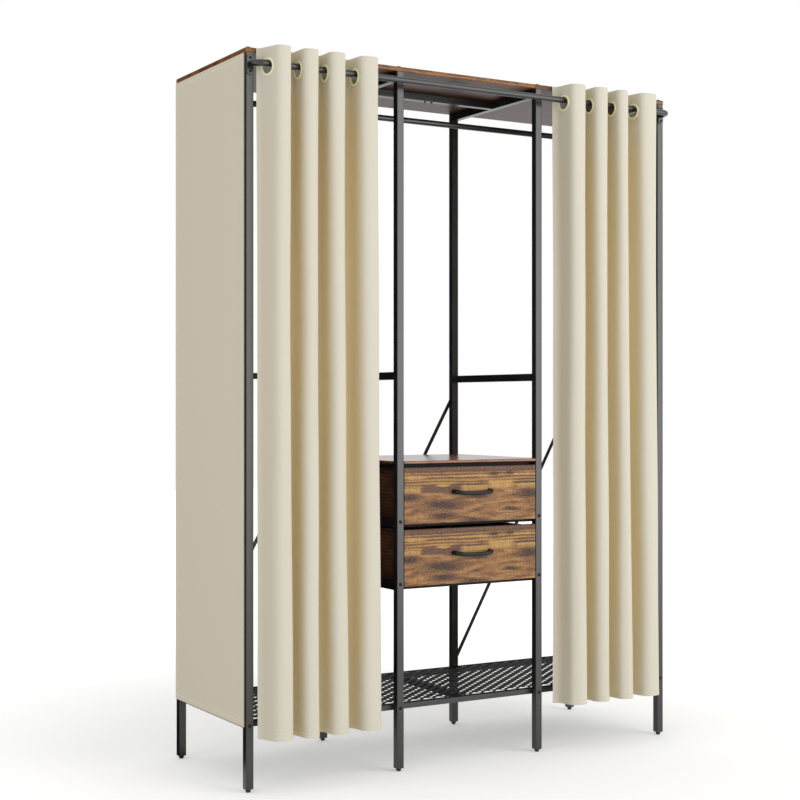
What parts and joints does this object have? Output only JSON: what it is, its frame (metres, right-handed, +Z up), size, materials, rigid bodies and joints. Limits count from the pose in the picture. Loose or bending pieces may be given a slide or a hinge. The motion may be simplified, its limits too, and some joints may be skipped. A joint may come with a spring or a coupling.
{
  "type": "portable wardrobe",
  "caption": "Free-standing steel-tube wardrobe in three bays with a wood top, mesh floor shelf, sliding drawers, clothes rails, cloth sides and eyelet curtains on a rod.",
  "frame": {"origin": "on the floor under the middle of the whole part, curtains and rear straps included", "axes": "+Z up, +X to the right seen from the front, +Y to the back; the curtains and drawer fronts face -Y"},
  "size_m": [1.303, 0.5044, 1.8],
  "materials": {
    "steel": "black powder coat, satin",
    "wood": "rustic brown printed wood grain, satin",
    "bare_board": "bare brown hardboard",
    "cloth": "plain woven polyester, matte beige",
    "eyelet": "cream moulded plastic",
    "black_plastic": "black moulded plastic",
    "handle": "black lacquer, semi-gloss"
  },
  "bodies": {
    "frame": {"post_left_end_front": "steel", "post_left_end_rear": "steel", "post_left_mid_front": "steel", "post_left_mid_rear": "steel", "post_right_mid_front": "steel", "post_right_mid_rear": "steel", "post_right_end_front": "steel", "post_right_end_rear": "steel", "foot_left_end_front": "black_plastic", "foot_left_end_rear": "black_plastic", "foot_left_mid_front": "black_plastic", "foot_left_mid_rear": "black_plastic", "foot_right_mid_front": "black_plastic", "foot_right_mid_rear": "black_plastic", "foot_right_end_front": "black_plastic", "foot_right_end_rear": "black_plastic", "upper_rung_left_end": "steel", "upper_rung_left_mid": "steel", "upper_rung_right_mid": "steel", "upper_rung_right_end": "steel", "middle_rung_left_end": "steel", "middle_rung_left_mid": "steel", "middle_rung_right_mid": "steel", "middle_rung_right_end": "steel", "centre_beam": "steel", "top_board_left": "wood", "top_board_right": "wood", "clothes_rail_upper": "steel", "clothes_rail_lower_left": "steel", "shelf_frame": "steel", "shelf_mesh": "steel", "drawer_tier_lower": "steel", "drawer_tier_upper": "steel", "cover_tier": "steel", "drawer_cover_board": "wood", "curtain_rod": "steel", "side_panel_left": "cloth", "side_panel_right": "cloth", "rear_strap_left": "steel", "rear_strap_middle": "steel", "rear_strap_right": "steel"},
    "drawer_lower": {"drawer_lower_front": "wood", "drawer_lower_side_left": "wood", "drawer_lower_side_right": "wood", "drawer_lower_back": "wood", "drawer_lower_bottom": "bare_board", "drawer_lower_handle": "handle"},
    "drawer_upper": {"drawer_upper_front": "wood", "drawer_upper_side_left": "wood", "drawer_upper_side_right": "wood", "drawer_upper_back": "wood", "drawer_upper_bottom": "bare_board", "drawer_upper_handle": "handle"},
    "curtain_left_lead": {"curtain_left": "cloth", "curtain_left_eyelet_7": "eyelet", "curtain_left_eyelet_8": "eyelet"},
    "curtain_right_lead": {"curtain_right": "cloth", "curtain_right_eyelet_1": "eyelet", "curtain_right_eyelet_2": "eyelet"}
  },
  "joints": [
    {"name": "drawer_lower_slide", "type": "slide", "parent": "frame", "child": "drawer_lower", "axis": [0, -1, 0], "range_m": [0, 0.26]},
    {"name": "drawer_upper_slide", "type": "slide", "parent": "frame", "child": "drawer_upper", "axis": [0, -1, 0], "range_m": [0, 0.26]},
    {"name": "curtain_left_draw", "type": "slide", "parent": "frame", "child": "curtain_left_lead", "axis": [1, 0, 0], "range_m": [-0.12, 0.29], "deforming": ["curtain_left"]},
    {"name": "curtain_right_draw", "type": "slide", "parent": "frame", "child": "curtain_right_lead", "axis": [-1, 0, 0], "range_m": [-0.12, 0.25], "deforming": ["curtain_right"]}
  ]
}
